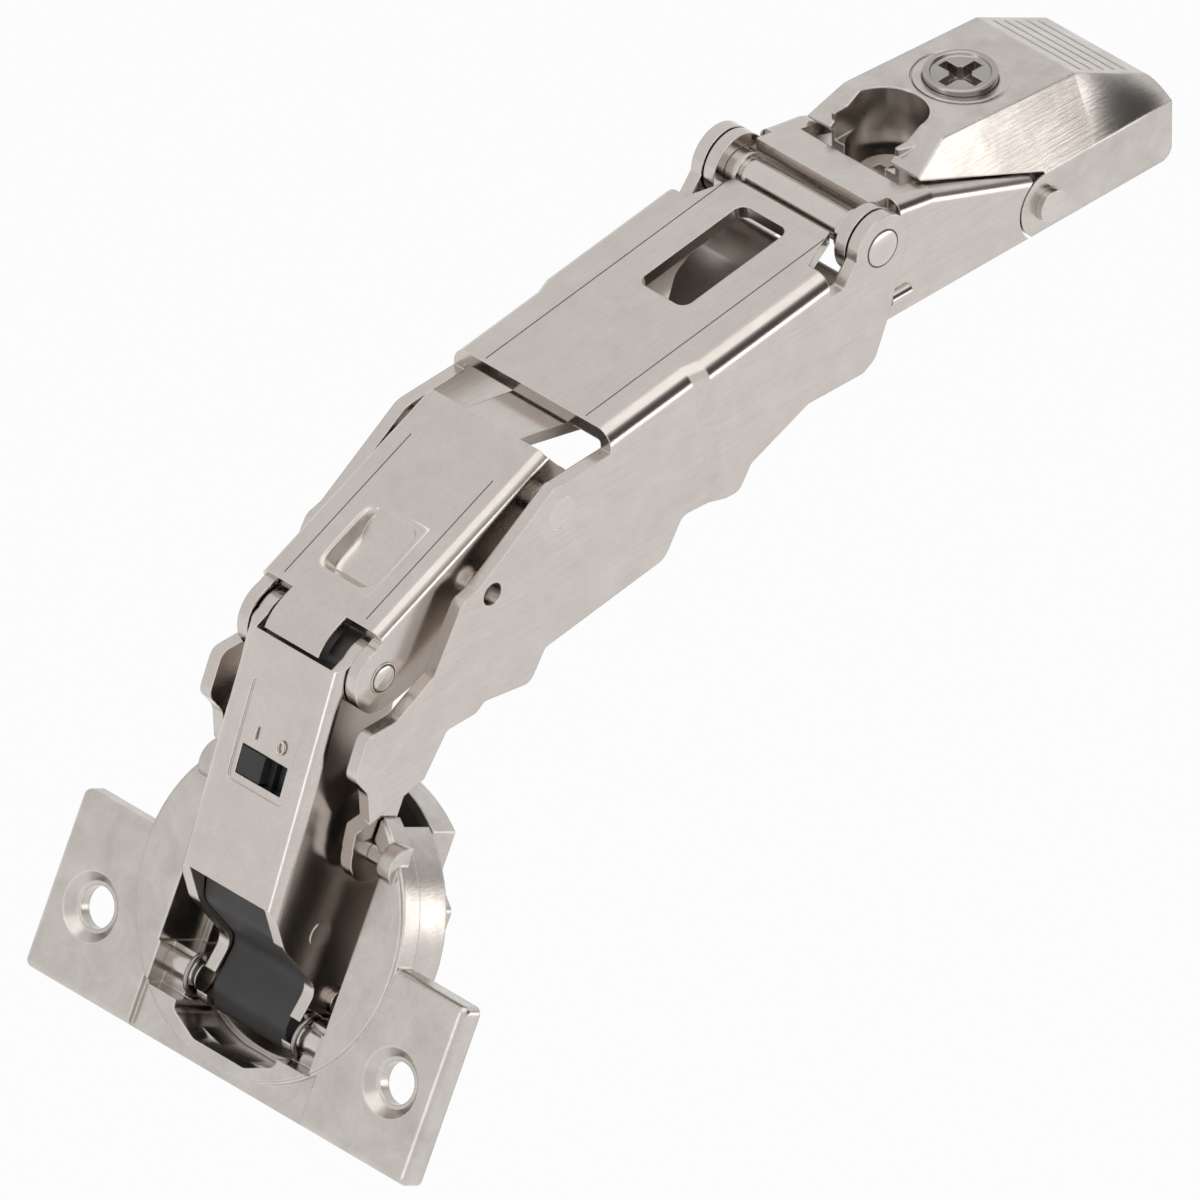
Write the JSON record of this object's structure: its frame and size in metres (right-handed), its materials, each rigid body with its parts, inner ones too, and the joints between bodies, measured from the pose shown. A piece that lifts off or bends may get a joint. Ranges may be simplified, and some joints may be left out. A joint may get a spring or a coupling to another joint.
{
  "type": "concealed cup hinge",
  "caption": "Wide-angle concealed cup hinge in satin nickel, fully open, with folding levers, a damper in the door link and a clip-on arm.",
  "frame": {"origin": "on the axis of the depth screw, level with the bottom of the arm, in the middle of its width", "axes": "+X along the arm away from the door, +Y along the pins, +Z away from the cabinet side"},
  "size_m": [0.1337, 0.0574, 0.0782],
  "materials": {
    "nickel_sheet": "satin nickel on folded steel sheet",
    "nickel_cast": "satin nickel on die-cast zinc",
    "nickel_pin": "satin nickel on turned steel",
    "spring_wire": "drawn spring wire",
    "damper_plastic": "moulded dark plastic"
  },
  "bodies": {
    "housing_body": {"housing": "nickel_cast", "latch_pin": "nickel_pin", "latch_spring": "spring_wire", "tilt_rivets": "nickel_pin"},
    "arm_body": {"arm_channel": "nickel_sheet", "adjust_nut": "nickel_pin", "control_pin": "nickel_pin"},
    "lever_body": {"outer_lever": "nickel_sheet", "arm_pin": "nickel_pin", "lever_rivets": "nickel_pin"},
    "cup_body": {"hinge_cup": "nickel_cast", "cup_link_pins": "nickel_pin", "cup_lever_pins": "nickel_pin", "closing_springs": "spring_wire"},
    "inner_body": {"inner_lever": "nickel_sheet", "elbow_pin": "nickel_pin", "link_pin": "nickel_pin"},
    "door_link_body": {"door_link": "nickel_sheet", "damper_body": "damper_plastic", "damper_rivets": "nickel_pin"},
    "slider_body": {"switch_slider": "damper_plastic"},
    "plunger_body": {"damper_plunger": "damper_plastic"},
    "control_body": {"control_link": "nickel_sheet"},
    "depth_body": {"depth_screw": "nickel_pin", "depth_cam": "nickel_pin"},
    "side_body": {"side_screw": "nickel_pin"},
    "latch_body": {"latch_lever": "nickel_cast"}
  },
  "joints": [
    {"name": "arm_tilt", "type": "hinge", "parent": "housing_body", "child": "arm_body", "pos_m": [0.0027, 0, 0.0031], "axis": [0, 1, 0], "range_deg": [-1, 0.6]},
    {"name": "depth_turn", "type": "hinge", "parent": "housing_body", "child": "depth_body", "pos_m": [0, 0, 0.01], "axis": [0, 0, 1], "range_deg": [-120, 120]},
    {"name": "side_turn", "type": "hinge", "parent": "housing_body", "child": "side_body", "pos_m": [-0.0105, 0.0005, 0.005], "axis": [0, 0, 1], "range_deg": [-360, 360]},
    {"name": "latch_swing", "type": "hinge", "parent": "housing_body", "child": "latch_body", "pos_m": [0.0156, 0, 0.005], "axis": [0, 1, 0], "range_deg": [-8, 0], "stiffness_Nm_per_rad": 0.4},
    {"name": "lever_fold", "type": "hinge", "parent": "arm_body", "child": "lever_body", "pos_m": [-0.02415, 0, 0.0114], "axis": [0, 1, 0], "range_deg": [0, 23.2]},
    {"name": "door_fold", "type": "hinge", "parent": "lever_body", "child": "cup_body", "pos_m": [-0.0974, 0, -0.0311], "axis": [0, 1, 0], "range_deg": [0, 129.83]},
    {"name": "inner_fold", "type": "hinge", "parent": "lever_body", "child": "inner_body", "pos_m": [-0.07137, 0, 0.00051], "axis": [0, 1, 0], "range_deg": [0, 86.8]},
    {"name": "link_fold", "type": "hinge", "parent": "inner_body", "child": "door_link_body", "pos_m": [-0.0951, 0, -0.0104], "axis": [0, 1, 0], "range_deg": [-65.75, 0]},
    {"name": "control_fold", "type": "hinge", "parent": "arm_body", "child": "control_body", "pos_m": [-0.0261, 0, 0.0016], "axis": [0, 1, 0], "range_deg": [0, 39]},
    {"name": "switch_slide", "type": "slide", "parent": "door_link_body", "child": "slider_body", "axis": [0, -1, 0], "range_m": [0, 0.003]},
    {"name": "plunger_slide", "type": "slide", "parent": "door_link_body", "child": "plunger_body", "axis": [-0.3602, 0, -0.9329], "range_m": [0, 0.0022], "stiffness_N_per_m": 150}
  ],
  "couplings": [
    {"joint": "lever_fold", "follows": "door_fold", "ratio": 0.1785},
    {"joint": "inner_fold", "follows": "door_fold", "ratio": 0.6683},
    {"joint": "link_fold", "follows": "door_fold", "ratio": -0.506},
    {"joint": "control_fold", "follows": "door_fold", "ratio": 0.3002}
  ]
}
